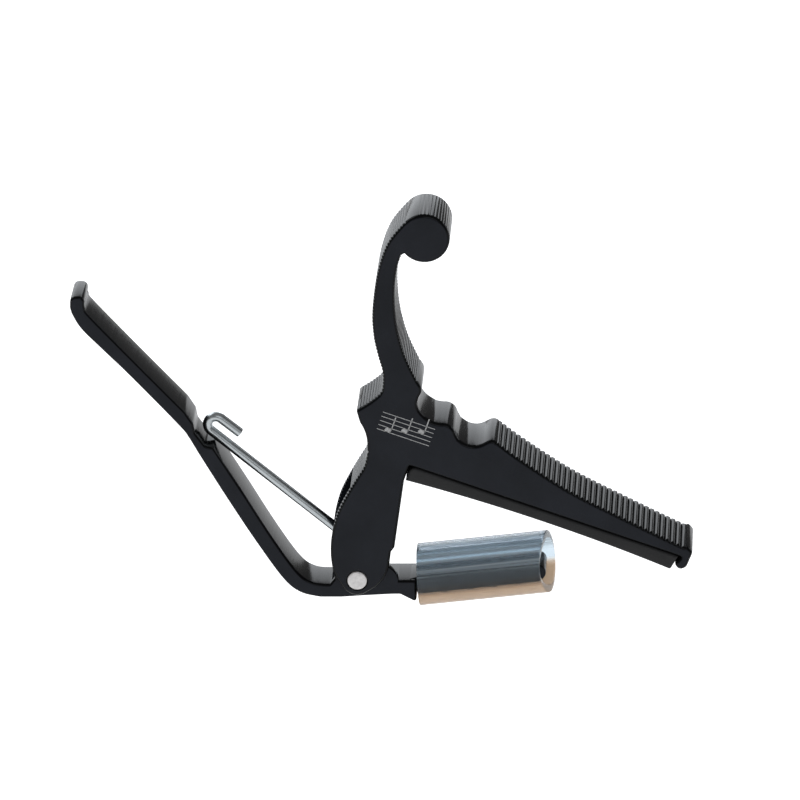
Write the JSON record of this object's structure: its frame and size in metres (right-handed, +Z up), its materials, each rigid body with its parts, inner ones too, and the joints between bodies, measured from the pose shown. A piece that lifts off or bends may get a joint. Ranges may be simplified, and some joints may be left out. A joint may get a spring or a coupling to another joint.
{
  "type": "guitar capo",
  "caption": "Trigger-style guitar capo: ribbed grip body and jaw with a curved rubber pad, sprung squeeze lever on a rivet, and a clear sleeve for the neck.",
  "frame": {"origin": "middle of the fretboard pad's contact face, on the plane of symmetry, with the lever at rest on its stop", "axes": "+X from the squeeze handle towards the jaw's tip, +Y across the capo's width away from the side with the printed mark, +Z up towards the disc end of the grip arm"},
  "size_m": [0.1247, 0.013, 0.0863],
  "materials": {
    "coated_aluminium": "black satin coating",
    "pad_rubber": "matt moulded rubber",
    "sleeve_vinyl": "clear glossy vinyl tube",
    "spring_steel": "bright drawn wire",
    "rivet_steel": "satin, cut flush"
  },
  "bodies": {
    "frame": {"body": "coated_aluminium", "fretboard_pad": "pad_rubber", "pivot_rivet": "rivet_steel"},
    "lever": {"lever": "coated_aluminium", "neck_sleeve": "sleeve_vinyl", "torsion_spring": "spring_steel"}
  },
  "joints": [
    {"name": "lever_squeeze", "type": "hinge", "parent": "frame", "child": "lever", "pos_m": [-0.0367, 0, -0.01385], "axis": [0, 1, 0], "range_deg": [0, 27], "stiffness_Nm_per_rad": 1.5, "springref_deg": -20.05, "deforming": ["torsion_spring"]}
  ]
}
